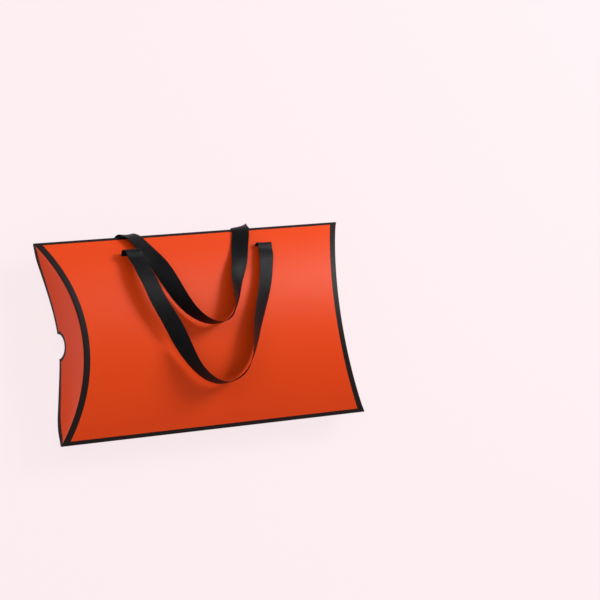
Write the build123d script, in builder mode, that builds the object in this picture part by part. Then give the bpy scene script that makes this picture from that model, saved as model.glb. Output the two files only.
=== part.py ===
"""Pillow box of creased paperboard with two ribbon handles.

It is drawn standing on its bottom fold: X runs along the box, -Y is the front, +Z is up.
At the end it is laid on its back, because its folded edge is too narrow to stand on.
There X still runs along the box, Y points to its top fold, and Z is up, out of its front.
The origin is then under the middle of the back panel, where the box rests.
All sizes are in millimetres.
"""
from build123d import *
from math import sqrt, sin, cos, radians
import os

os.makedirs("parts", exist_ok=True)

# The made-up box
length = 320.0
height = 186.0
depth = 50.0
board = 0.6
fold_width = 1.5
fold_height = 2.6
fold_web = 0.9
glue_film = 0.05
glue_flap_height = 16.0
glue_flap_setback = 6.0

# The end closures
crease_gap = 0.3
notch_radius = 11.5
inner_flap_free_edge = 1.0

# The ribbons and where they pass through the board
ribbon_width = 16.0
ribbon_thickness = 0.5
slot_spacing = 140.0
slot_below_top = 18.0
slot_clearance = 0.5
slot_height = 2.6
tail_length = 30.0
exit_radius = 1.0
arch_radius = 2.2
arch_rise = 5.6
arch_step_out = 4.6
front_hinge_reach = 6.6
front_hinge_drop = 3.5
back_hinge_reach = 3.2
back_hinge_rise = 6.0
back_bend_reach = 4.2
back_bend_rise = 3.0
hinge_gap = 0.4

# The hanging loops
front_drop = 123.0
front_hang_share = 0.97
back_drop = 80.0
back_hang_below_top = 8.5
back_hang_half = 50.4
back_centre_offset = -5.0
back_hang_reach = 6.3
back_hang_share = 0.8
lie_clearance = 3.5
section_pitch = 4.0
reach_fade = 12
hang_shares = (-1, -0.85, -0.7, -0.55, -0.4, -0.2, 0, 0.2, 0.4, 0.55, 0.7, 0.85, 1)

# Where the back ribbon crosses the top edge: across, depth and rise over the edge
left_climb_shares = ((-0.995, 0.33, -0.17), (-0.965, 0.06, 0.155), (-0.895, -0.23, -0.03))
right_climb_shares = ((0.71, -0.23, -0.03), (0.79, 0.06, 0.155), (0.96, 0.33, -0.17))

# One circle shapes the panels, and the same circle turned through the crease shapes the closures
half_length = length / 2
half_depth = depth / 2
middle = height / 2
sag = half_depth - fold_width / 2
bow_radius = (middle**2 + sag**2) / (2 * sag)
bow_centre = bow_radius - half_depth
end_centre = half_length + fold_width / 2 + bow_centre
mid_end = half_length + fold_width / 2 - half_depth
flap_pitch = board + crease_gap

slot_half = slot_spacing / 2
slot_z = height - slot_below_top
tail_radius = bow_radius - board - glue_film - ribbon_thickness / 2


def bow_at(z, radius=bow_radius):
    """Distance from the middle plane to a circle about the panels' centre, at height z."""
    return sqrt(radius**2 - (z - middle) ** 2) - bow_centre


front_hinge_y = -bow_at(slot_z) - front_hinge_reach
front_hinge_z = slot_z - front_hinge_drop
back_hinge_y = bow_at(slot_z) + back_hinge_reach
back_hinge_z = slot_z + back_hinge_rise


def end_outline(inset):
    """Outline of a panel seen from the front: straight folds, and ends curved in by the crease."""
    with BuildSketch(Plane.XZ) as outline:
        with Locations((0, middle)):
            Rectangle(length, height)
        for end in (-1, 1):
            with Locations((end * end_centre, middle)):
                Circle(bow_radius + inset, mode=Mode.SUBTRACT)
    return outline.sketch


def bowed_board(side, outer, inner, low, high, inset):
    """Board between two circles of the bow, from one height to another, with curved ends."""
    with BuildPart() as sheet:
        with BuildSketch(Plane.YZ):
            with Locations((-side * bow_centre, middle)):
                Circle(outer)
                Circle(inner, mode=Mode.SUBTRACT)
            with Locations((side * half_depth / 2, (low + high) / 2)):
                Rectangle(half_depth, high - low, mode=Mode.INTERSECT)
        extrude(amount=half_length, both=True)
        extrude(end_outline(inset), amount=depth, both=True, mode=Mode.INTERSECT)
    return sheet.part


def panel(side, inset):
    """A broad panel with its two ribbon slots."""
    with BuildPart() as sheet:
        add(bowed_board(side, bow_radius, bow_radius - board, fold_height, height - fold_height, inset))
        with BuildSketch(Plane.XZ):
            with Locations((-slot_half, slot_z), (slot_half, slot_z)):
                Rectangle(ribbon_width + 2 * slot_clearance, slot_height)
        extrude(amount=-side * depth, mode=Mode.SUBTRACT)
    return sheet.part


def draw_lens(radius, low, high):
    """Draw the lens between the two circles of the bow, cut off square near its tips."""
    with Locations((bow_centre, middle)):
        Circle(radius)
    with Locations((-bow_centre, middle)):
        Circle(radius, mode=Mode.INTERSECT)
    with Locations((0, (low + high) / 2)):
        Rectangle(depth, high - low, mode=Mode.INTERSECT)


def fold(low, high, groove_low, groove_high):
    """A folded edge: solid where the board turns, with a leg under each panel."""
    with BuildPart() as edge:
        with BuildSketch(Plane.YZ):
            draw_lens(bow_radius, low, high)
        extrude(amount=half_length, both=True)
        with BuildSketch(Plane.YZ):
            draw_lens(bow_radius - board, groove_low, groove_high)
        extrude(amount=half_length, both=True, mode=Mode.SUBTRACT)
        extrude(end_outline(0), amount=depth, both=True, mode=Mode.INTERSECT)
    return edge.part


def closure(end, layer, free_edge):
    """An end flap: board bent to the circle of its crease, cut to a lens with the thumb notch."""
    outside = bow_radius + layer * flap_pitch
    with BuildPart() as flap:
        with BuildSketch(Plane.XZ):
            with Locations((end * end_centre, middle)):
                Circle(outside + board)
                Circle(outside, mode=Mode.SUBTRACT)
            with Locations((end * half_length, middle)):
                Rectangle(2 * depth, height, mode=Mode.INTERSECT)
        extrude(amount=depth, both=True)
        with BuildSketch(Plane.YZ):
            draw_lens(bow_radius, fold_height + crease_gap, height - fold_height - crease_gap)
            with Locations((free_edge + half_depth, middle)):
                Rectangle(depth, height, mode=Mode.INTERSECT)
            with Locations((half_depth, middle)):
                Circle(notch_radius, mode=Mode.SUBTRACT)
        extrude(amount=end * length, mode=Mode.INTERSECT)
    return flap.part


def ribbon_tail(side, across, points, radii):
    """A ribbon end: glued inside the panel, then out through the slot."""
    with BuildPart() as tail:
        with BuildLine(Plane.YZ.offset(across)) as route:
            FilletPolyline([(side * y, z) for y, z in points], radius=radii)
        with BuildSketch(Plane(route.line @ 0, x_dir=(1, 0, 0), z_dir=route.line % 0)):
            Rectangle(ribbon_width, ribbon_thickness)
        sweep()
    return tail.part


def ribbon_loop(points, hang_share):
    """A hanging ribbon: thin sections along a smooth route, turned edge-on towards its bottom.

    The turn is a quarter turn at the lowest point of the route and none at the slots.
    It takes place in the share of the route to either side where the ribbon hangs free.
    """
    with BuildLine():
        route = Spline(points)
    steps = round(route.length / section_pitch)
    lowest = min(range(steps), key=lambda i: (route @ (i / steps)).Z)
    with BuildPart() as loop:
        for i in range(steps + 1):
            share = 2 * (i - lowest) / steps
            turn = radians(90) * max(0, 1 - abs(share) / hang_share)
            along = route % (i / steps)
            if i in (0, steps):
                along = Vector(0, along.Y, along.Z)
            lead = Vector(cos(turn) if share < 0 else -cos(turn), -sin(turn), 0)
            across = lead - along * (lead.dot(along) / along.dot(along))
            with BuildSketch(Plane(route @ (i / steps), x_dir=across, z_dir=along)):
                Rectangle(ribbon_width, ribbon_thickness)
        loft()
    return loop.part


def hanging(top, drop, centre, half, reach):
    """Points of a hanging loop: a parabola across, its middle clear of the panel by its turned width."""
    points = []
    for share in hang_shares:
        z = top - drop * (1 - share**2)
        clear = lie_clearance + ribbon_width / 2 * (1 - share**2)
        y = -bow_at(z) - clear - (reach - lie_clearance) * share**reach_fade
        points.append((centre + half * share, y, z))
    return points


# Panels: the closures cover their ends, one layer at the front and two at the back
with BuildPart() as front_panel:
    add(panel(-1, flap_pitch))
front_panel.part.label = "front_panel"

with BuildPart() as back_panel:
    add(panel(1, 2 * flap_pitch))
    with BuildSketch(Plane.XZ):
        with Locations((-mid_end, middle), (mid_end, middle)):
            Circle(notch_radius)
    extrude(amount=-depth, mode=Mode.SUBTRACT)
back_panel.part.label = "back_panel"

with BuildPart() as bottom_fold:
    add(fold(0, fold_height, fold_web, fold_height))
bottom_fold.part.label = "bottom_fold"

with BuildPart() as top_fold:
    add(fold(height - fold_height, height, height - fold_height, height - fold_web))
top_fold.part.label = "top_fold"

# The glue flap lies inside the front panel, along the bottom
with BuildPart() as glue_flap:
    glue_outside = bow_radius - board - glue_film
    glue_top = fold_height + glue_flap_height
    add(bowed_board(-1, glue_outside, glue_outside - board, fold_height, glue_top,
                    2 * flap_pitch + glue_flap_setback))
glue_flap.part.label = "glue_flap"

# End flaps
closures = {}
for end_name, end in (("left", -1), ("right", 1)):
    closures[end_name + "_outer_flap"] = closure(end, 0, -half_depth)
    closures[end_name + "_inner_flap"] = closure(end, 1, inner_flap_free_edge)
for name, flap in closures.items():
    flap.label = name

# Ribbon ends through the slots
tail_low = slot_z - tail_length
inside_low = (bow_at(tail_low, tail_radius), tail_low)
slot_bow = bow_at(slot_z) - board / 2
exit_slope = arch_rise / arch_step_out
inside_exit_y = bow_at(slot_z, tail_radius)
inside_exit = (inside_exit_y, slot_z - (slot_bow - inside_exit_y) * exit_slope)
front_points = (
    inside_low,
    inside_exit,
    (slot_bow + arch_step_out, slot_z + arch_rise),
    (-front_hinge_y - ribbon_thickness / 2, front_hinge_z + hinge_gap),
)
back_points = (
    inside_low,
    inside_exit,
    (bow_at(slot_z) + back_bend_reach, slot_z + back_bend_rise),
    (back_hinge_y - ribbon_thickness / 2, back_hinge_z - hinge_gap),
)
tails = {}
for end_name, end in (("left", -1), ("right", 1)):
    tails["front_" + end_name + "_tail"] = ribbon_tail(
        -1, end * slot_half, front_points, (exit_radius, arch_radius))
    tails["back_" + end_name + "_tail"] = ribbon_tail(
        1, end * slot_half, back_points, (exit_radius, exit_radius))
for name, tail in tails.items():
    tail.label = name


# The front loop hangs from its slots
front_top = front_hinge_z - hinge_gap
front_reach = front_hinge_reach - ribbon_thickness / 2 - (bow_at(front_top) - bow_at(slot_z))
with BuildPart() as front_handle:
    add(ribbon_loop(hanging(front_top, front_drop, 0, slot_half, front_reach), front_hang_share))
front_handle.part.label = "front_handle"


def climb(shares):
    """Points where the back loop climbs from a slot and folds over the top edge."""
    points = []
    for across_share, depth_share, rise_share in shares:
        points.append((slot_half * across_share, half_depth * depth_share,
                       height + slot_below_top * rise_share))
    return points


# The back loop climbs from its slots, folds over the top edge and hangs inside the front one
back_hang = hanging(height - back_hang_below_top, back_drop, back_centre_offset, back_hang_half,
                    back_hang_reach)
hinge_end = Vector(0, back_hinge_y - ribbon_thickness / 2, back_hinge_z + hinge_gap)
bend_end = Vector(0, back_points[2][0], back_points[2][1])
rising = hinge_end + hinge_end - bend_end
left_slot = Vector(-slot_half, 0, 0)
right_slot = Vector(slot_half, 0, 0)
back_route = [left_slot + hinge_end, left_slot + rising] + climb(left_climb_shares) + back_hang
back_route += climb(right_climb_shares) + [right_slot + rising, right_slot + hinge_end]
with BuildPart() as back_handle:
    add(ribbon_loop(back_route, back_hang_share))
back_handle.part.label = "back_handle"

pieces = [front_panel.part, back_panel.part, bottom_fold.part, top_fold.part, glue_flap.part]
pieces += list(closures.values())
pieces += list(tails.values())
pieces += [front_handle.part, back_handle.part]

# Laid on its back
laid = Location((0, -middle, half_depth), (-90, 0, 0))
for piece in pieces:
    export_step(piece.moved(laid), "parts/" + piece.label + ".step")
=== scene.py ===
"""Looks of the pillow box: orange printed board with black borders, and two black satin ribbons.

The box lies on its back as in the frame: x along it, y towards its top fold, z up out of its front.
Lengths are in metres. "Out" is the height over the box's middle plane.
"""

import bmesh
import bpy
import numpy as np
from mathutils import Matrix, Vector


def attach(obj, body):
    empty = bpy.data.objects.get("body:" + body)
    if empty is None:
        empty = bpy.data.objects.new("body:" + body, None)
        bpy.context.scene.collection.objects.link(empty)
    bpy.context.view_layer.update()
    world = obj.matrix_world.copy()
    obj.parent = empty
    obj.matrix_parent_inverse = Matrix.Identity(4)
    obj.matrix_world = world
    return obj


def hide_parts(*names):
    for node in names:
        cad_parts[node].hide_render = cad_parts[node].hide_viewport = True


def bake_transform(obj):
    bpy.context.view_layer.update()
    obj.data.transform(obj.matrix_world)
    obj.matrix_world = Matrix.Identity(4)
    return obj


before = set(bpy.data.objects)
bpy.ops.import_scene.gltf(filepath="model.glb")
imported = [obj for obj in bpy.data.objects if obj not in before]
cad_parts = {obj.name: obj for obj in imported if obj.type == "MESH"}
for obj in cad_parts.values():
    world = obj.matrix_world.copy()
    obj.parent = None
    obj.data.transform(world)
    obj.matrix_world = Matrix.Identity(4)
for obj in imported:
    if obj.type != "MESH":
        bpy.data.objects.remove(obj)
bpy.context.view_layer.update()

# The board, as in the frame
LENGTH = 0.320
HEIGHT = 0.186
DEPTH = 0.050
BOARD = 0.0006
FOLD_WIDTH = 0.0015
FOLD_HEIGHT = 0.0026
LAYER_PITCH = 0.0009
NOTCH_RADIUS = 0.0115
INNER_FLAP_EDGE = 0.001
CREASE_BEND = 0.0016
TIP_GAP = 0.0006

# How far an outer flap's free edge springs outwards, from bottom to top: height, then distance
FLAP_SWELL = (
    (-0.093, 0), (-0.083, 0.0047), (-0.069, 0.0069), (-0.056, 0.0066), (-0.042, 0.0059),
    (-0.029, 0.0047), (-0.012, 0.0027), (0.01, 0.0011), (0.029, 0.0014), (0.053, 0.0027),
    (0.077, 0.0036), (0.084, 0.003), (0.093, 0),
)

# The table is read half a millimetre apart, and this many of those values make one mean
SWELL_POINTS = 373
SWELL_SOFTENING = 25

# A crease's radius: a share of the bow there, but never less than its board allows
BEND_SHARE = 0.4
LEAST_BEND = 1.1 * BOARD

# The ribbons and their slots
RIBBON = 0.016
RIBBON_THICKNESS = 0.00045
SLOT_HALF = 0.070
SLOT_BELOW_TOP = 0.018
SLOT_CLEARANCE = 0.0005
SLOT_HEIGHT = 0.0026
TAIL_LENGTH = 0.030
FRONT_HINGE_REACH = 0.0066
FRONT_HINGE_DROP = 0.0035
BACK_HINGE_REACH = 0.0032
BACK_HINGE_RISE = 0.006
HINGE_GAP = 0.0004
SLOT_REACH = 0.0022
SLOT_INSET = 0.0014
SLOT_OUTSET = 0.0026

# A ribbon's thickness at its edges, as a share of its thickness in the middle, and how abruptly it thins
EDGE_THICKNESS = 0.35
EDGE_POWER = 8

# Where each loop bends when it hinges: the direction from its hinge, then start and end along it
FRONT_LOOP_BEND = ((0, -0.866, 0.5), -0.0016, 0.0064)
BACK_LOOP_BEND = ((0, 0.436, 0.9), 0.0004, 0.0038)

# The hanging loops
FRONT_DROP = 0.1245
BACK_DROP = 0.0827
BACK_HANG_BELOW_TOP = 0.0085

# Where the ribbons leave the front slots: across, up and out from the slot
FRONT_LEFT_ARCH = (
    (0, -0.0022, -0.0014), (0, 0, 0), (-0.0008, 0.0028, 0.003), (-0.0012, 0.0038, 0.0062),
    (-0.0004, 0.0022, 0.0092), (0.0008, -0.0028, 0.0104),
)
FRONT_RIGHT_ARCH = (
    (0, -0.0022, -0.0014), (0, 0, 0), (0, 0.0014, 0.0022), (-0.0002, 0.0008, 0.0046),
    (-0.0006, -0.0036, 0.0062),
)

# Where the loops hang: across the slots' half spacing, down the drop, and clear by ribbon widths
FRONT_HANG_SHARES = (
    (-0.965, 0.055, 0.63), (-0.95, 0.12, 0.7), (-0.92, 0.19, 0.73), (-0.858, 0.325, 0.7),
    (-0.72, 0.505, 0.64), (-0.507, 0.78, 0.66), (-0.275, 0.94, 0.71), (-0.01, 1, 0.73),
    (0.2, 0.975, 0.7), (0.335, 0.92, 0.66), (0.42, 0.85, 0.6), (0.49, 0.75, 0.54),
    (0.59, 0.57, 0.44), (0.7, 0.43, 0.36), (0.795, 0.315, 0.32), (0.91, 0.145, 0.31),
    (0.967, 0.045, 0.31),
)
BACK_HANG_SHARES = (
    (-0.825, 0, 0.3), (-0.69, 0.235, 0.38), (-0.558, 0.55, 0.49), (-0.4, 0.815, 0.61),
    (-0.17, 0.975, 0.7), (-0.05, 1, 0.72), (0.08, 0.985, 0.7), (0.185, 0.93, 0.64),
    (0.28, 0.82, 0.55), (0.343, 0.68, 0.46), (0.418, 0.49, 0.36), (0.522, 0.31, 0.31),
    (0.65, 0.06, 0.25),
)
LEFT_CLIMB_SHARES = ((-0.985, 0.33, -0.2), (-0.965, 0.06, 0.1), (-0.89, -0.2, -0.05))
RIGHT_CLIMB_SHARES = ((0.728, -0.2, -0.03), (0.755, 0.03, 0.12), (0.88, 0.34, -0.22))

# How far each ribbon is turned, in degrees, and how much it tilts, from its left end (-1) past its
# lowest point (0) to its right end
FRONT_TURN = (
    (-1, 0, 0), (-0.7, 0, 0), (-0.58, 5, 0), (-0.45, 20, 0), (-0.34, 50, 0), (-0.22, 73, 0),
    (0, 90, 0), (0.28, 127, 0), (0.38, 139, 0), (0.48, 149, 0), (0.69, 160, 0), (0.87, 169, 0),
    (0.94, 171, 0), (1, 180, 0),
)
BACK_TURN = (
    (-0.87, 0, 0), (-0.72, -10, 0), (-0.61, 0, 0), (-0.41, 38, 0), (-0.27, 58, 0), (0, 90, 0),
    (0.5, 180, 0), (0.67, 208, 0), (0.77, 190, -0.1), (0.83, 180, -0.3), (0.9, 180, -0.1), (0.96, 180, 0),
)
TURN_SOFTENING = 9

# How fine the meshes are: the most between two rows or columns, and points along each curve
ROW_STEP = 0.003
COLUMN_STEP = 0.004
NOTCH_POINTS = 33
END_COLUMNS = 14
FOLD_LEAN_POINTS = 4
FOLD_ROUND_POINTS = 13
FOLD_COLUMNS = 81
FLAP_BEND_POINTS = 7
FLAP_POINTS = 18
SPLINE_POINTS = 4000
RIBBON_STEP = 0.0015
RIBBON_POINTS = 17
TAIL_POINTS = 25
SHARP_DEGREES = 40

# The print
END_BAND = 0.0062
TOP_BORDER = 0.0019
BOTTOM_BORDER = 0.0036
FLAP_BORDER = 0.0032
ROOT_BORDER = 0.6 * CREASE_BEND
INK_EDGE = 0.0001
INK_WOBBLE = 0.0003
INK_SCALE = 9.0
WOBBLE_SCALE = 260.0
FIBRE_SCALE = 1400.0
RAW_FIBRE_SCALE = 900.0
FIBRE_DETAIL = 3.0
FIBRE_DEPTH = 0.0002
PRINT_BUMP = 0.12
RAW_BUMP = 0.2
PRINT_ROUGHNESS = 0.36
FIBRE_ROUGHNESS = 0.12
BORDER_ROUGHNESS = 0.04

# Where the print gives way to the raw inside, as a share of the board's thickness, and how softly
RAW_BELOW = 0.08
RAW_EDGE = 0.02

# The weave: one thread's width, one cross thread's, how the cross threads slant, and the edge's thread
THREAD_PITCH = 0.00028
CROSS_PITCH = 0.0005
CROSS_SLANT = 2600.0
CLOUD_SCALE = 160.0
SELVEDGE_INSET = 0.0005
SELVEDGE_HALF = 0.0003
SELVEDGE_EDGE = 0.0002
THREAD_HEIGHT = 0.5
CROSS_HEIGHT = 0.3
SELVEDGE_HEIGHT = 1.5
WEAVE_BUMP = 0.35
WEAVE_DEPTH = 0.00006
SATIN_ROUGHNESS = 0.34
CLOUD_ROUGHNESS = 0.1
THREAD_ROUGHNESS = 0.03

# The light: direction, distance, size and watts of each lamp, then the world's strength, how far the
# floor reaches, and how much of it glows in its own colour
KEY_LIGHT = ((0.75, 0.42, 0.62), 1.6, 0.55, 18.0)
FILL_LIGHT = ((-0.8, 0.5, 0.9), 2.0, 1.6, 8.0)
WORLD_STRENGTH = 0.48
FLOOR_REACH = 4.0
FLOOR_GLOW = 0.88

# The camera, found from the box's corners in the photograph
LENS = 147.84
CAMERA_PLACE = (-1.0632, -0.2208, 2.0550)
CAMERA_AHEAD = (0.49691, 0.10232, -0.86175)
CAMERA_RIGHT = (0.86440, -0.14624, 0.48108)
FARTHEST_SEEN = 20.0

# One circle shapes the panels, and the same circle shapes the ends
HALF = HEIGHT / 2
SAG = DEPTH / 2 - FOLD_WIDTH / 2
BOW = (HALF**2 + SAG**2) / (2 * SAG)
BOW_CENTRE = BOW - DEPTH / 2
END_CENTRE = LENGTH / 2 + FOLD_WIDTH / 2 + BOW_CENTRE
MID_END = END_CENTRE - BOW
SLOT_Y = HALF - SLOT_BELOW_TOP


def bow(y, radius=BOW):
    """How far a panel stands out at height y: the circle's half chord there, less its centre's depth."""
    return np.sqrt(radius**2 - y**2) - BOW_CENTRE


def crease(y):
    """How far along the box its end crease lies at height y: the panel's circle, mirrored."""
    return END_CENTRE - np.sqrt(BOW**2 - y**2)


def place(x, y, out):
    """Points of the frame from x, y and the height over the middle plane, as one array."""
    x, y, out = np.broadcast_arrays(x, y, out)
    return np.stack([x, y, DEPTH / 2 + out], -1)


def steps(step, *stops):
    """Values from the first stop to the last, at most one step apart, with every stop among them."""
    runs = []
    for a, b in zip(stops, stops[1:]):
        count = max(2, int(np.ceil((b - a) / step)) + 1)
        runs.append(np.linspace(a, b, count)[:-1])
    return np.append(np.concatenate(runs), stops[-1])


def heights(low, *stops):
    """Rows from low up to the last stop, as a column, closer together round the thumb notch."""
    below = steps(ROW_STEP, low, -NOTCH_RADIUS)
    round_notch = NOTCH_RADIUS * np.sin(np.linspace(-np.pi / 2, np.pi / 2, NOTCH_POINTS))
    above = steps(ROW_STEP, NOTCH_RADIUS, *stops)
    return np.concatenate([below[:-1], round_notch[:-1], above])[:, None]


def lengths(points):
    """How far along a line each of its points lies: the running sum of the chords."""
    return np.insert(np.cumsum(np.linalg.norm(np.diff(points, axis=0), axis=1)), 0, 0)


def softened(values, count, **padding):
    """A running mean over this many values, with the ends padded so that as many come back."""
    padded = np.pad(values, count // 2, **padding)
    return np.convolve(padded, np.full(count, 1 / count), "valid")


# Meshes
def new_piece(name, points, faces):
    """An object at the origin with a mesh of these points and faces."""
    mesh = bpy.data.meshes.new(name)
    mesh.from_pydata(np.asarray(points, float).reshape(-1, 3).tolist(), [], np.asarray(faces).tolist())
    piece = bpy.data.objects.new(name, mesh)
    bpy.context.scene.collection.objects.link(piece)
    return piece


def cells(rows, columns):
    """The four corners of each cell in a grid of numbered points."""
    corner = np.arange(rows * columns).reshape(rows, columns)
    return corner[:-1, :-1], corner[1:, :-1], corner[1:, 1:], corner[:-1, 1:]


def shell(name, outside, inside, body, kept=None):
    """A closed thin piece from two grids of points, its outer and its inner face.

    Walls join the faces round the outline, and round every cell that isn't kept.
    """
    rows, columns = outside.shape[:2]
    a, b, c, d = cells(rows, columns)
    kept = np.ones(a.shape, bool) if kept is None else kept
    around = np.pad(kept, 1)
    under = rows * columns
    faces = [np.stack([a, b, c, d], -1)[kept], np.stack([d, c, b, a], -1)[kept] + under]
    beside = (
        (a, b, around[1:-1, :-2]), (b, c, around[2:, 1:-1]),
        (c, d, around[1:-1, 2:]), (d, a, around[:-2, 1:-1]),
    )
    for near, far, neighbour in beside:
        faces.append(np.stack([far, near, near + under, far + under], -1)[kept & ~neighbour])
    piece = new_piece(name, np.stack([outside, inside]), np.concatenate(faces))
    mesh = piece.data
    work = bmesh.new()
    work.from_mesh(mesh)
    bmesh.ops.recalc_face_normals(work, faces=work.faces)
    work.to_mesh(mesh)
    work.free()
    mesh.shade_smooth()
    mesh.set_sharp_from_angle(angle=np.radians(SHARP_DEGREES))
    if body:
        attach(piece, body)
    return piece


def mark(piece, name, values):
    """Stores one vector for each point of a piece, for its material to read."""
    attribute = piece.data.attributes.new(name, "FLOAT_VECTOR", "POINT")
    attribute.data.foreach_set("vector", np.asarray(values, np.float32).ravel())


def sheet_of_board(name, outside, inside, kept=None):
    """A closed piece of board that doesn't bend, with its points' places for the print.

    It also stores which face each point is on: 1 on the printed face and 0 on the raw inside.
    """
    piece = shell(name, outside, inside, "box", kept)
    mark(piece, "resting", np.stack([outside, inside]))
    mark(piece, "printed", np.stack([np.ones_like(outside), np.zeros_like(inside)]))
    return piece


def open_sheet(name, outside, turned_over):
    """A piece of board: its printed face from one grid of points, and a modifier's thickness.

    The modifier keeps the board equally thick, so its raw inside, the second material, stays inside.
    Its outline stays sharp, and its points' places at rest are stored for the print.
    """
    faces = np.stack(cells(*outside.shape[:2]), -1).reshape(-1, 4)
    piece = new_piece(name, outside, faces[:, ::-1] if turned_over else faces)
    mesh = piece.data
    mesh.shade_smooth()
    edges = np.zeros(len(mesh.loops), int)
    mesh.loops.foreach_get("edge_index", edges)
    outline = np.bincount(edges, minlength=len(mesh.edges)) == 1
    mesh.attributes.new("sharp_edge", "BOOLEAN", "EDGE").data.foreach_set("value", outline)
    thickness = piece.modifiers.new("board", "SOLIDIFY")
    thickness.thickness = BOARD
    thickness.offset = -1
    thickness.material_offset = 1
    mark(piece, "resting", outside)
    mark(piece, "printed", np.ones_like(outside))
    return piece


def bend(y):
    """The crease's radius at height y: full in the middle, and less towards the tips."""
    return np.clip(BEND_SHARE * bow(y), LEAST_BEND, CREASE_BEND)


def panel(name, side, layers, notched):
    """A broad panel: the bow over y, straight along x, from end crease to end crease.

    Its columns are parallel between the slots and spread beyond them to reach the creases.
    """
    slot_low, slot_high = SLOT_Y - SLOT_HEIGHT / 2, SLOT_Y + SLOT_HEIGHT / 2
    slot_near, slot_far = SLOT_HALF - RIBBON / 2 - SLOT_CLEARANCE, SLOT_HALF + RIBBON / 2 + SLOT_CLEARANCE
    edge = HALF - FOLD_HEIGHT
    y = heights(-edge, slot_low, slot_high, edge)
    end = crease(y) - layers * LAYER_PITCH - bend(y)
    if notched:
        end = np.minimum(end, MID_END - np.sqrt(np.maximum(NOTCH_RADIUS**2 - y**2, 0)))
    straight = steps(COLUMN_STEP, -slot_far, -slot_near, slot_near, slot_far)[None, :]
    spread = slot_far + np.linspace(0, 1, END_COLUMNS)[None, 1:] * (end - slot_far)
    x = np.concatenate([-spread[:, ::-1], np.repeat(straight, len(y), 0), spread], 1)
    x_middle = (x[:-1, :-1] + x[:-1, 1:]) / 2
    y_middle = (y[:-1] + y[1:]) / 2
    in_width = np.abs(np.abs(x_middle) - SLOT_HALF) < RIBBON / 2
    in_slot = in_width & (np.abs(y_middle - SLOT_Y) < SLOT_HEIGHT / 2)
    outside = place(x, y, side * bow(y))
    inside = place(x, y, side * bow(y, BOW - BOARD))
    piece = sheet_of_board(name + "_board", outside, inside, ~in_slot)
    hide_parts(name)
    return piece


def fold(name, side):
    """A folded edge: each panel's bow runs on, and a small circle that touches both rounds the edge."""
    round_radius = (BOW**2 - BOW_CENTRE**2 - HALF**2) / (2 * (BOW - HALF))
    round_y = HALF - round_radius
    meet = np.arcsin(round_y / (BOW - round_radius))
    lean = np.linspace(np.arcsin((HALF - FOLD_HEIGHT) / BOW), meet, FOLD_LEAN_POINTS)
    turn = np.linspace(meet, np.pi - meet, FOLD_ROUND_POINTS)

    def across(inset):
        """y and out along the fold's section, this far inside its outer face."""
        bow_y, bow_out = (BOW - inset) * np.sin(lean), (BOW - inset) * np.cos(lean) - BOW_CENTRE
        y = np.concatenate([bow_y[:-1], round_y + (round_radius - inset) * np.sin(turn), bow_y[-2::-1]])
        out = np.concatenate([bow_out[:-1], (round_radius - inset) * np.cos(turn), -bow_out[-2::-1]])
        return side * y[:, None], out[:, None]

    share = np.linspace(-1, 1, FOLD_COLUMNS)[None, :]
    faces = []
    for inset in (0, BOARD):
        y, out = across(inset)
        faces.append(place(share * (crease(np.clip(y, -HALF, HALF)) - BOARD), y, out))
    piece = sheet_of_board(name + "_board", *faces)
    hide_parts(name)
    return piece


def swell(y):
    """How far an outer flap's free edge stands out at height y: the table, softened by a running mean.

    The padding turns the values over at both ends, so that the tips stay where they are.
    """
    at, distance = np.array(FLAP_SWELL).T
    fine = np.linspace(-HALF, HALF, SWELL_POINTS)
    values = np.interp(fine, at, distance)
    return np.interp(y, fine, softened(values, SWELL_SOFTENING, mode="reflect", reflect_type="odd"))


def flap(name, end, front, layers, tip, free, notch_at_root):
    """An end flap: it leaves its panel round the crease, then crosses the end, bent to the crease's circle.

    At each height y it runs a length s along a quarter circle and then straight to its free edge.
    The thumb notch is a half circle about the back crease, at the free edge or at the root.
    An outer flap also swells outwards, by the square of how far it has crossed the end.
    """
    y = heights(-tip, tip)
    radius = bend(y)
    arc = radius * np.pi / 2
    notch = np.sqrt(np.maximum(NOTCH_RADIUS**2 - y**2, 0))
    straight_end = bow(y) - radius + (bow(y) if free is None else -free)
    start = np.zeros_like(y)
    if notch_at_root:
        start = np.where(notch < radius, arc * notch / radius, arc + notch - radius)
    else:
        straight_end = straight_end - np.maximum(notch - (DEPTH / 2 - bow(y)), 0)
    root = start + np.linspace(0, 1, FLAP_BEND_POINTS)[None, :-1] * arc
    rest = start + arc + np.linspace(0, 1, FLAP_POINTS)[None, :] * (straight_end - start)
    s = np.concatenate([root, rest], 1)
    turn = np.clip(s / radius, 0, np.pi / 2)
    run = np.maximum(s - arc, 0)
    x = crease(y) - layers * LAYER_PITCH - radius + radius * np.sin(turn)
    if layers == 0:
        x = x + swell(y) * (run / (2 * bow(y))) ** 2
    out = bow(y) - radius + radius * np.cos(turn) - run
    piece = open_sheet(name + "_board", place(end * x, y, front * out), end * front > 0)
    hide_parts(name)
    return piece


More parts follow.
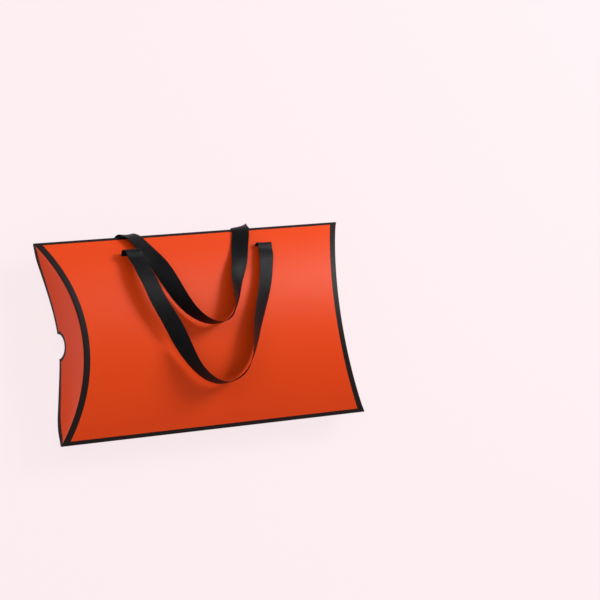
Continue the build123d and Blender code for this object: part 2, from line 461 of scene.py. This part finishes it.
def smooth_line(points, spacing):
    """Evenly spaced points on the natural cubic spline over chord length through the given points."""
    points = np.asarray(points, float)
    at = lengths(points)
    gap = np.diff(at)
    slope = np.diff(points, axis=0) / gap[:, None]
    bending = np.eye(len(points))
    inner = np.arange(1, len(points) - 1)
    bending[inner, inner - 1], bending[inner, inner + 1] = gap[:-1], gap[1:]
    bending[inner, inner] = 2 * (gap[:-1] + gap[1:])
    pull = np.zeros_like(points)
    pull[1:-1] = 6 * np.diff(slope, axis=0)
    pull = np.linalg.solve(bending, pull)

    def along(t):
        """The spline's points at these chord lengths."""
        k = np.clip(np.searchsorted(at, t, side="right") - 1, 0, len(gap) - 1)
        h, a, b = gap[k][:, None], (at[k + 1] - t)[:, None], (t - at[k])[:, None]
        cubic = (pull[k] * a**3 + pull[k + 1] * b**3) / (6 * h)
        return cubic + (points[k] / h - pull[k] * h / 6) * a + (points[k + 1] / h - pull[k + 1] * h / 6) * b

    fine = np.linspace(0, at[-1], SPLINE_POINTS)
    run = lengths(along(fine))
    return along(np.interp(np.linspace(0, run[-1], int(run[-1] / spacing) + 1), run, fine))


def strip(name, line, across, body=None):
    """A ribbon: along the line, as wide as its width to both sides, and thinner towards its edges.

    Returns the piece and its length, and stores each point's place across and along it.
    """
    along = np.gradient(line, axis=0)
    along /= np.linalg.norm(along, axis=1)[:, None]
    across = across - along * np.sum(across * along, axis=1)[:, None]
    across /= np.linalg.norm(across, axis=1)[:, None]
    face = np.cross(along, across)
    share = np.sin(np.linspace(-np.pi / 2, np.pi / 2, RIBBON_POINTS))
    fullness = EDGE_THICKNESS + (1 - EDGE_THICKNESS) * np.sqrt(1 - share**EDGE_POWER)
    middle = line[:, None] + across[:, None] * share[:, None] * RIBBON / 2
    half = face[:, None] * (RIBBON_THICKNESS / 2 * fullness)[:, None]
    piece = shell(name, middle + half, middle - half, body)
    run = lengths(line)
    woven = np.stack(np.broadcast_arrays(share[None, :] * RIBBON / 2, run[:, None], 0.0), -1)
    mark(piece, "woven", np.stack([woven, woven]))
    return piece, run[-1]


def hanging(top, drop, shares):
    """Points of a hanging loop in front of the bowed panel."""
    across, down, clear = np.array(shares).T
    y = top - drop * down
    return place(SLOT_HALF * across, y, bow(y) + RIBBON * clear)


def turned(line, turn_table):
    """The ribbon's direction across: a half turn about its run, level at both slots.

    A running mean softens the turn and the tilt.
    """
    lowest = np.argmin(line[:, 1])
    share = 2 * (np.arange(len(line)) - lowest) / (len(line) - 1)
    at, turn, tilt = np.array(turn_table).T
    turn, tilt = (softened(np.interp(share, at, values), TURN_SOFTENING, mode="edge")
                  for values in (np.radians(turn), tilt))
    return np.stack([np.cos(turn), tilt, np.sin(turn)], -1)


def arch(side, points):
    """Points of the front ribbon's small arch, from the slot on the left (-1) or on the right (1)."""
    across, up, out = np.array(points).T
    return place(side * SLOT_HALF + across, SLOT_Y + up, bow(SLOT_Y) - BOARD / 2 + out)


def front_ribbon_line():
    """The front ribbon from slot to slot: out and up over a small arch, then down in its loop."""
    loop = hanging(SLOT_Y - FRONT_HINGE_DROP - HINGE_GAP, FRONT_DROP, FRONT_HANG_SHARES)
    return np.concatenate([arch(-1, FRONT_LEFT_ARCH), loop, arch(1, FRONT_RIGHT_ARCH)[::-1]])


def climb(shares):
    """Points where the back loop climbs from a slot and folds over the top edge."""
    across, depth, rise = np.array(shares).T
    return place(SLOT_HALF * across, HALF + SLOT_BELOW_TOP * rise, -DEPTH / 2 * depth)


def back_ribbon_line():
    """The back ribbon from slot to slot: up the back, over the top edge, and down in front."""
    slot_out = bow(SLOT_Y) - BOARD / 2
    hinge_out = bow(SLOT_Y) + BACK_HINGE_REACH - RIBBON_THICKNESS / 2
    rise_y = np.array([SLOT_Y - SLOT_REACH, SLOT_Y, SLOT_Y + SLOT_REACH, SLOT_Y + BACK_HINGE_RISE])
    rise_out = np.array([slot_out - SLOT_INSET, slot_out, slot_out + SLOT_OUTSET, hinge_out])
    left = place(-SLOT_HALF, rise_y, -rise_out)
    right = left[::-1] * [-1, 1, 1]
    hang = hanging(HALF - BACK_HANG_BELOW_TOP, BACK_DROP, BACK_HANG_SHARES)
    return np.concatenate([left, climb(LEFT_CLIMB_SHARES), hang, climb(RIGHT_CLIMB_SHARES), right])


def ribbon(name, points, turn_table, hinge, loop_bend):
    """A whole ribbon from slot to slot."""
    line = smooth_line(points, RIBBON_STEP)
    piece, length = strip(name, line, turned(line, turn_table))
    lead, start, end = loop_bend
    hinge, lead = Vector(hinge), Vector(lead).normalized()
    hinge + lead * start
    hinge + lead * end
    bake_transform(piece)
    return piece


def tail(name, side, end):
    """A ribbon's glued end: it follows the inside of its panel from the slot downwards."""
    y = np.linspace(SLOT_Y - SLOT_REACH, SLOT_Y - TAIL_LENGTH, TAIL_POINTS)
    line = place(end * SLOT_HALF, y, side * bow(y, BOW - BOARD - RIBBON_THICKNESS / 2))
    level = np.tile([1.0, 0.0, 0.0], (len(line), 1))
    piece, length = strip(name + "_ribbon", line, level, "box")
    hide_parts(name)
    return piece


# Materials
class Wire:
    """A socket of a material. Sums, products and powers of wires add Math nodes."""

    def __init__(self, material, socket):
        self.material = material
        self.socket = socket

    def math(self, operation, *values):
        return self.material.node("ShaderNodeMath", {"operation": operation}, dict(enumerate(values)))[0]

    def __add__(self, other):
        return self.math("ADD", self, other)

    def __sub__(self, other):
        return self.math("SUBTRACT", self, other)

    def __rsub__(self, other):
        return self.math("SUBTRACT", other, self)

    def __mul__(self, other):
        return self.math("MULTIPLY", self, other)

    def __pow__(self, other):
        return self.math("POWER", self, other)

    def __abs__(self):
        return self.math("ABSOLUTE", self)

    __radd__ = __add__
    __rmul__ = __mul__

    def wave(self):
        return self.math("SINE", self)

    def most(self, other):
        return self.math("MAXIMUM", self, other)

    def within(self, edge, soft):
        """1 below the edge and 0 above it, with a soft step between."""
        settings = {"interpolation_type": "SMOOTHSTEP"}
        stops = {0: self, 1: edge - soft, 2: edge + soft, 3: 1.0, 4: 0.0}
        return self.material.node("ShaderNodeMapRange", settings, stops)[0]


def hypot(a, b):
    """The distance from zero of a point in two wires."""
    return (a * a + b * b) ** 0.5


class Finish:
    """A material with one Principled shader, whose other nodes come from its node method."""

    def __init__(self, name, **sockets):
        self.made = bpy.data.materials.new(name)
        self.made.use_nodes = True
        self.tree = self.made.node_tree
        self.shader = self.tree.nodes["Principled BSDF"]
        for socket, value in sockets.items():
            self.set(self.shader.inputs[socket.replace("_", " ")], value)

    def set(self, socket, value):
        if isinstance(value, Wire):
            self.tree.links.new(value.socket, socket)
        else:
            socket.default_value = value

    def node(self, kind, settings, inputs):
        """Adds a node: its settings first, then its sockets' values or links. Returns its outputs."""
        node = self.tree.nodes.new(kind)
        for setting, value in settings.items():
            setattr(node, setting, value)
        for socket, value in inputs.items():
            self.set(node.inputs[socket], value)
        return [Wire(self, output) for output in node.outputs]

    def feed(self, socket, wire):
        self.set(self.shader.inputs[socket], wire)

    def vector(self, name):
        """A vector stored on the piece's points."""
        return self.node("ShaderNodeAttribute", {"attribute_name": name}, {})[1]

    def parts(self, vector):
        return self.node("ShaderNodeSeparateXYZ", {}, {0: vector})

    def noise(self, vector, scale, detail=2.0):
        return self.node("ShaderNodeTexNoise", {}, {"Vector": vector, "Scale": scale, "Detail": detail})[0]

    def mix(self, share, first, second):
        """A mix of two colours. Sockets 6 and 7 and output 2 are the node's colour ones."""
        settings = {"data_type": "RGBA"}
        return self.node("ShaderNodeMix", settings, {"Factor": share, 6: first, 7: second})[2]

    def bump(self, height, strength, distance):
        inputs = {"Height": height, "Strength": strength, "Distance": distance}
        self.feed("Normal", self.node("ShaderNodeBump", {}, inputs)[0])


def linear(red, green, blue):
    """A colour that is written as it shows, from 0 to 255, in the shader's linear values."""
    share = np.array([red, green, blue]) / 255
    return (*np.where(share <= 0.04045, share / 12.92, ((share + 0.055) / 1.055) ** 2.4), 1.0)


ORANGE = linear(230, 71, 12)
ORANGE_DEEP = linear(224, 65, 9)
BORDER = linear(27, 18, 16)
RAW = linear(226, 220, 211)
RAW_DARK = linear(212, 205, 194)
SATIN = linear(12, 13, 14)
SATIN_LIGHT = linear(19, 20, 23)
FLOOR = linear(240, 226, 229)
BACKDROP = linear(255, 241, 244)
WORLD = linear(255, 246, 248)


def printed_board(name, black_at):
    """Board printed orange, with its black border where black_at gives 1, and pale raw board inside.

    The ink varies a little over the sheet, and fine fibres show in the gloss.
    """
    finish = Finish(name, Specular_IOR_Level=0.17)
    rest = finish.vector("resting")
    x, y, z = finish.parts(rest)
    ink = finish.noise(rest, INK_SCALE)
    fibre = finish.noise(rest, FIBRE_SCALE, FIBRE_DETAIL)
    wobble = (finish.noise(rest, WOBBLE_SCALE) - 0.5) * INK_WOBBLE
    black = black_at(x, y, z - DEPTH / 2, wobble)
    print_colour = finish.mix(black, finish.mix(ink, ORANGE, ORANGE_DEEP), BORDER)
    raw = finish.parts(finish.vector("printed"))[0].within(RAW_BELOW, RAW_EDGE)
    finish.feed("Base Color", finish.mix(raw, print_colour, RAW))
    finish.feed("Roughness", PRINT_ROUGHNESS + fibre * FIBRE_ROUGHNESS + black * BORDER_ROUGHNESS)
    finish.bump(fibre, PRINT_BUMP, FIBRE_DEPTH)
    return finish.made


def panel_border(x, y, out, wobble):
    """Black along the folds, wider at the bottom, and in a band beside each end crease."""
    from_end = hypot(abs(x) - END_CENTRE, y) - BOW
    top = (HALF - y + wobble).within(TOP_BORDER, INK_EDGE)
    bottom = (y + HALF + wobble).within(BOTTOM_BORDER, INK_EDGE)
    return (from_end + wobble).within(END_BAND, INK_EDGE).most(top.most(bottom))


def all_border(x, y, out, wobble):
    """Black all over, as the folded edges are."""
    return 1.0


def flap_border(front):
    """The border of a flap that hinges on the front (1) or on the back (-1)."""

    def border(x, y, out, wobble):
        """Black round the crease, along the free edge and round the thumb notch."""
        root = (BOW - hypot(y, out * front + BOW_CENTRE) + wobble).within(ROOT_BORDER, INK_EDGE)
        edge = (BOW - hypot(y, out * front - BOW_CENTRE) + wobble).within(FLAP_BORDER, INK_EDGE)
        notch = (hypot(y, out + DEPTH / 2) - NOTCH_RADIUS + wobble).within(FLAP_BORDER, INK_EDGE)
        return root.most(edge.most(notch))

    return border


def raw_board():
    """The unprinted inside of the board: pale, matt and a little mottled."""
    finish = Finish("raw_board", Roughness=0.75, Specular_IOR_Level=0.2)
    object_place = finish.node("ShaderNodeTexCoord", {}, {})[3]
    fibre = finish.noise(object_place, RAW_FIBRE_SCALE, FIBRE_DETAIL)
    finish.feed("Base Color", finish.mix(fibre, RAW, RAW_DARK))
    finish.bump(fibre, RAW_BUMP, FIBRE_DEPTH)
    return finish.made


def satin():
    """Black satin ribbon: threads along it floating over fine cross threads, and a tight edge each side."""
    finish = Finish("black_satin", Specular_IOR_Level=0.08)
    woven = finish.vector("woven")
    across, along, _ = finish.parts(woven)
    thread = (across * (2 * np.pi / THREAD_PITCH)).wave()
    cross = (along * (2 * np.pi / CROSS_PITCH) + across * CROSS_SLANT).wave()
    cloud = finish.noise(woven, CLOUD_SCALE)
    selvedge = abs(abs(across) - (RIBBON / 2 - SELVEDGE_INSET)).within(SELVEDGE_HALF, SELVEDGE_EDGE)
    finish.feed("Base Color", finish.mix(cloud, SATIN, SATIN_LIGHT))
    finish.feed("Roughness", SATIN_ROUGHNESS + cloud * CLOUD_ROUGHNESS + thread * THREAD_ROUGHNESS)
    height = thread * THREAD_HEIGHT + cross * CROSS_HEIGHT + selvedge * SELVEDGE_HEIGHT
    finish.bump(height, WEAVE_BUMP, WEAVE_DEPTH)
    return finish.made


def dress(piece, material):
    """Gives a piece its material."""
    piece.data.materials.clear()
    piece.data.materials.append(material)


# Light, floor and camera
def floor():
    """A pale floor under the box: its own colour to the camera and in reflections, and a soft shadow."""
    low, high = -FLOOR_REACH, FLOOR_REACH
    corners = [(low, low, 0), (high, low, 0), (high, high, 0), (low, high, 0)]
    piece = new_piece("floor", corners, [(0, 1, 2, 3)])
    finish = Finish("pale_floor", Roughness=0.9, Base_Color=FLOOR, Specular_IOR_Level=0.0)
    ray = finish.node("ShaderNodeLightPath", {}, {})
    to_camera, glossy, transmission = ray[0], ray[3], ray[6]
    shown = to_camera.most(glossy.most(transmission))
    glow = finish.node("ShaderNodeEmission", {}, {0: BACKDROP, 1: 1.0})[0]
    surface = Wire(finish, finish.shader.outputs[0])
    mixed = finish.node("ShaderNodeMixShader", {}, {0: shown * FLOOR_GLOW, 1: surface, 2: glow})[0]
    finish.set(finish.tree.nodes["Material Output"].inputs[0], mixed)
    piece.data.materials.append(finish.made)


def lamp(name, toward, distance, size, power):
    """A square soft lamp that faces the box from this direction."""
    light = bpy.data.lights.new(name, "AREA")
    light.shape = "SQUARE"
    light.size = size
    light.energy = power
    lamp_object = bpy.data.objects.new(name, light)
    centre = Vector((0, 0, DEPTH / 2))
    direction = Vector(toward).normalized()
    facing = direction.to_track_quat("Z", "Y").to_matrix().to_4x4()
    lamp_object.matrix_world = Matrix.Translation(centre + direction * distance) @ facing
    bpy.context.scene.collection.objects.link(lamp_object)


def camera():
    """The photograph's view."""
    data = bpy.data.cameras.new("camera")
    data.lens = LENS
    data.sensor_width = 36.0
    data.clip_end = FARTHEST_SEEN
    piece = bpy.data.objects.new("camera", data)
    ahead = Vector(CAMERA_AHEAD).normalized()
    right = Vector(CAMERA_RIGHT)
    right = (right - ahead * right.dot(ahead)).normalized()
    turn = Matrix((right, right.cross(ahead), -ahead)).transposed()
    piece.matrix_world = Matrix.Translation(CAMERA_PLACE) @ turn.to_4x4()
    bpy.context.scene.collection.objects.link(piece)
    bpy.context.scene.camera = piece


def light_box():
    """Plain light: an even world, a key from the upper right of the photograph, and a wide fill."""
    world = bpy.data.worlds.new("plain")
    world.use_nodes = True
    background = world.node_tree.nodes["Background"]
    background.inputs[0].default_value = WORLD
    background.inputs[1].default_value = WORLD_STRENGTH
    bpy.context.scene.world = world
    lamp("key", *KEY_LIGHT)
    lamp("fill", *FILL_LIGHT)


camera()
light_box()
floor()
bpy.context.scene.view_settings.view_transform = "Standard"

panel_print = printed_board("printed_panel", panel_border)
dress(panel("front_panel", 1, 0, False), panel_print)
dress(panel("back_panel", -1, 1, True), panel_print)
fold_print = printed_board("printed_fold", all_border)
dress(fold("top_fold", 1), fold_print)
dress(fold("bottom_fold", -1), fold_print)
raw_inside = raw_board()
dress(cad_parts["glue_flap"], raw_inside)

outer_print = printed_board("printed_outer_flap", flap_border(1))
inner_print = printed_board("printed_inner_flap", flap_border(-1))
for end_name, end in (("left", -1), ("right", 1)):
    outer = flap(end_name + "_outer_flap", end, 1, 0, HALF - TIP_GAP, None, False)
    inner = flap(end_name + "_inner_flap", end, -1, 1, HALF - FOLD_HEIGHT, INNER_FLAP_EDGE, True)
    for piece, body, layers, front, material in (
            (outer, "_outer", 0, 1, outer_print), (inner, "_inner", 1, -1, inner_print)):
        dress(piece, material)
        piece.data.materials.append(raw_inside)
        root = Vector((end * (MID_END - layers * LAYER_PITCH), 0, DEPTH / 2 + front * DEPTH / 2))
        across = Vector((-end, 0, -front)).normalized()
        end_name + body
        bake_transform(piece)

ribbon_finish = satin()
front_hinge = (0, SLOT_Y - FRONT_HINGE_DROP, DEPTH / 2 + bow(SLOT_Y) + FRONT_HINGE_REACH)
back_hinge = (0, SLOT_Y + BACK_HINGE_RISE, DEPTH / 2 - bow(SLOT_Y) - BACK_HINGE_REACH)
front_ribbon = ribbon("front_ribbon", front_ribbon_line(), FRONT_TURN,
                      front_hinge, FRONT_LOOP_BEND)
back_ribbon = ribbon("back_ribbon", back_ribbon_line(), BACK_TURN,
                     back_hinge, BACK_LOOP_BEND)
dress(front_ribbon, ribbon_finish)
dress(back_ribbon, ribbon_finish)
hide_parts("front_handle")
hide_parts("back_handle")
for side_name, side in (("front", 1), ("back", -1)):
    for end_name, end in (("left", -1), ("right", 1)):
        dress(tail(side_name + "_" + end_name + "_tail", side, end), ribbon_finish)
